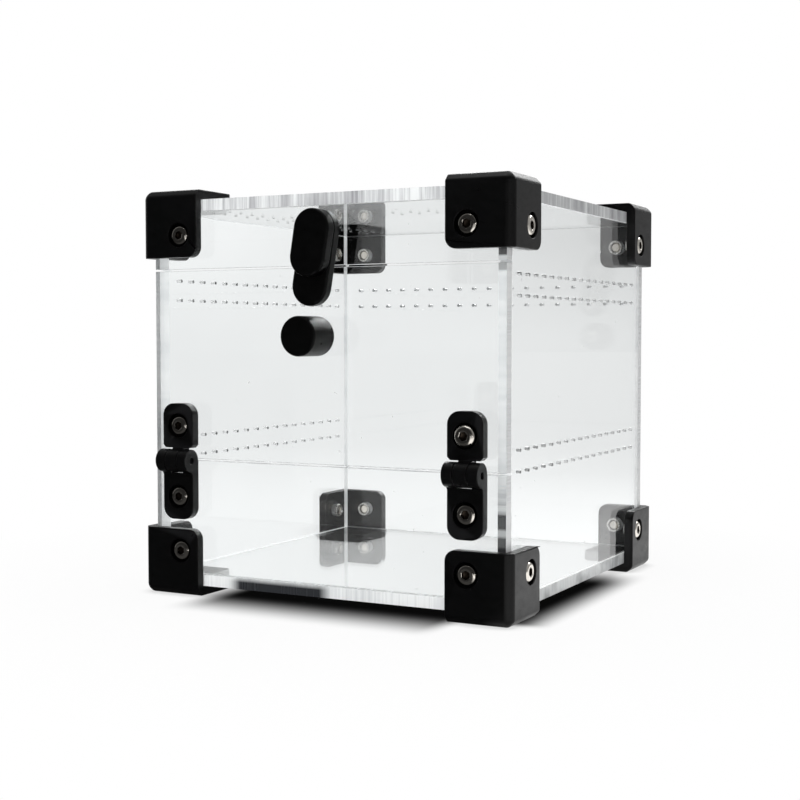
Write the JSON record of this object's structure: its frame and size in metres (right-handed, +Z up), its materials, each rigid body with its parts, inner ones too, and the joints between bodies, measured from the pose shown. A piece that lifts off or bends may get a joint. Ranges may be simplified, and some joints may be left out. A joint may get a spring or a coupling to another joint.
{
  "type": "ant habitat enclosure",
  "caption": "Clear acrylic box for keeping ants, clamped at its corners by black printed brackets, with a drop-down front door on leaf hinges, a knob and a magnetic swivel catch.",
  "frame": {"origin": "middle of the bounding box's base, on the surface that the box stands on", "axes": "+X to the right seen from the door, +Y from the door to the back, +Z up"},
  "size_m": [0.1068, 0.1138, 0.1068],
  "materials": {
    "clear_acrylic": "clear polished sheet, laser-cut edges",
    "black_print": "satin, fine layer lines",
    "screw_steel": "bright stainless",
    "insert_metal": "machined, knurled",
    "magnet_nickel": "nickel plated"
  },
  "bodies": {
    "box": {"top_panel": "clear_acrylic", "bottom_panel": "clear_acrylic", "back_panel": "clear_acrylic", "left_panel": "clear_acrylic", "right_panel": "clear_acrylic", "front_top_strip": "clear_acrylic", "front_bottom_panel": "clear_acrylic", "bracket_bottom_front_left": "black_print", "screws_bottom_front_left": "screw_steel", "inserts_bottom_front_left": "insert_metal", "bracket_bottom_front_right": "black_print", "screws_bottom_front_right": "screw_steel", "inserts_bottom_front_right": "insert_metal", "bracket_bottom_back_left": "black_print", "screws_bottom_back_left": "screw_steel", "inserts_bottom_back_left": "insert_metal", "bracket_bottom_back_right": "black_print", "screws_bottom_back_right": "screw_steel", "inserts_bottom_back_right": "insert_metal", "bracket_top_front_left": "black_print", "screws_top_front_left": "screw_steel", "inserts_top_front_left": "insert_metal", "bracket_top_front_right": "black_print", "screws_top_front_right": "screw_steel", "inserts_top_front_right": "insert_metal", "bracket_top_back_left": "black_print", "screws_top_back_left": "screw_steel", "inserts_top_back_left": "insert_metal", "bracket_top_back_right": "black_print", "screws_top_back_right": "screw_steel", "inserts_top_back_right": "insert_metal", "hinge_lower_leaf_left": "black_print", "hinge_pin_left": "black_print", "hinge_lower_screw_left": "screw_steel", "hinge_lower_insert_left": "insert_metal", "hinge_lower_leaf_right": "black_print", "hinge_pin_right": "black_print", "hinge_lower_screw_right": "screw_steel", "hinge_lower_insert_right": "insert_metal", "keeper_magnet": "magnet_nickel"},
    "door": {"door_panel": "clear_acrylic", "door_knob": "black_print", "knob_screw": "screw_steel", "hinge_upper_leaf_left": "black_print", "hinge_upper_screw_left": "screw_steel", "hinge_upper_insert_left": "insert_metal", "hinge_upper_leaf_right": "black_print", "hinge_upper_screw_right": "screw_steel", "hinge_upper_insert_right": "insert_metal"},
    "latch": {"latch_arm": "black_print", "latch_grip": "black_print", "latch_pivot_screw": "screw_steel", "latch_washer": "screw_steel", "latch_magnet": "magnet_nickel"}
  },
  "joints": [
    {"name": "door_hinge", "type": "hinge", "parent": "box", "child": "door", "pos_m": [0, -0.0505, 0.03585], "axis": [1, 0, 0], "range_deg": [0, 115]},
    {"name": "latch_swing", "type": "hinge", "parent": "door", "child": "latch", "pos_m": [-0.0014, -0.04735, 0.081], "axis": [0, 1, 0], "range_deg": [-130, 112]}
  ]
}
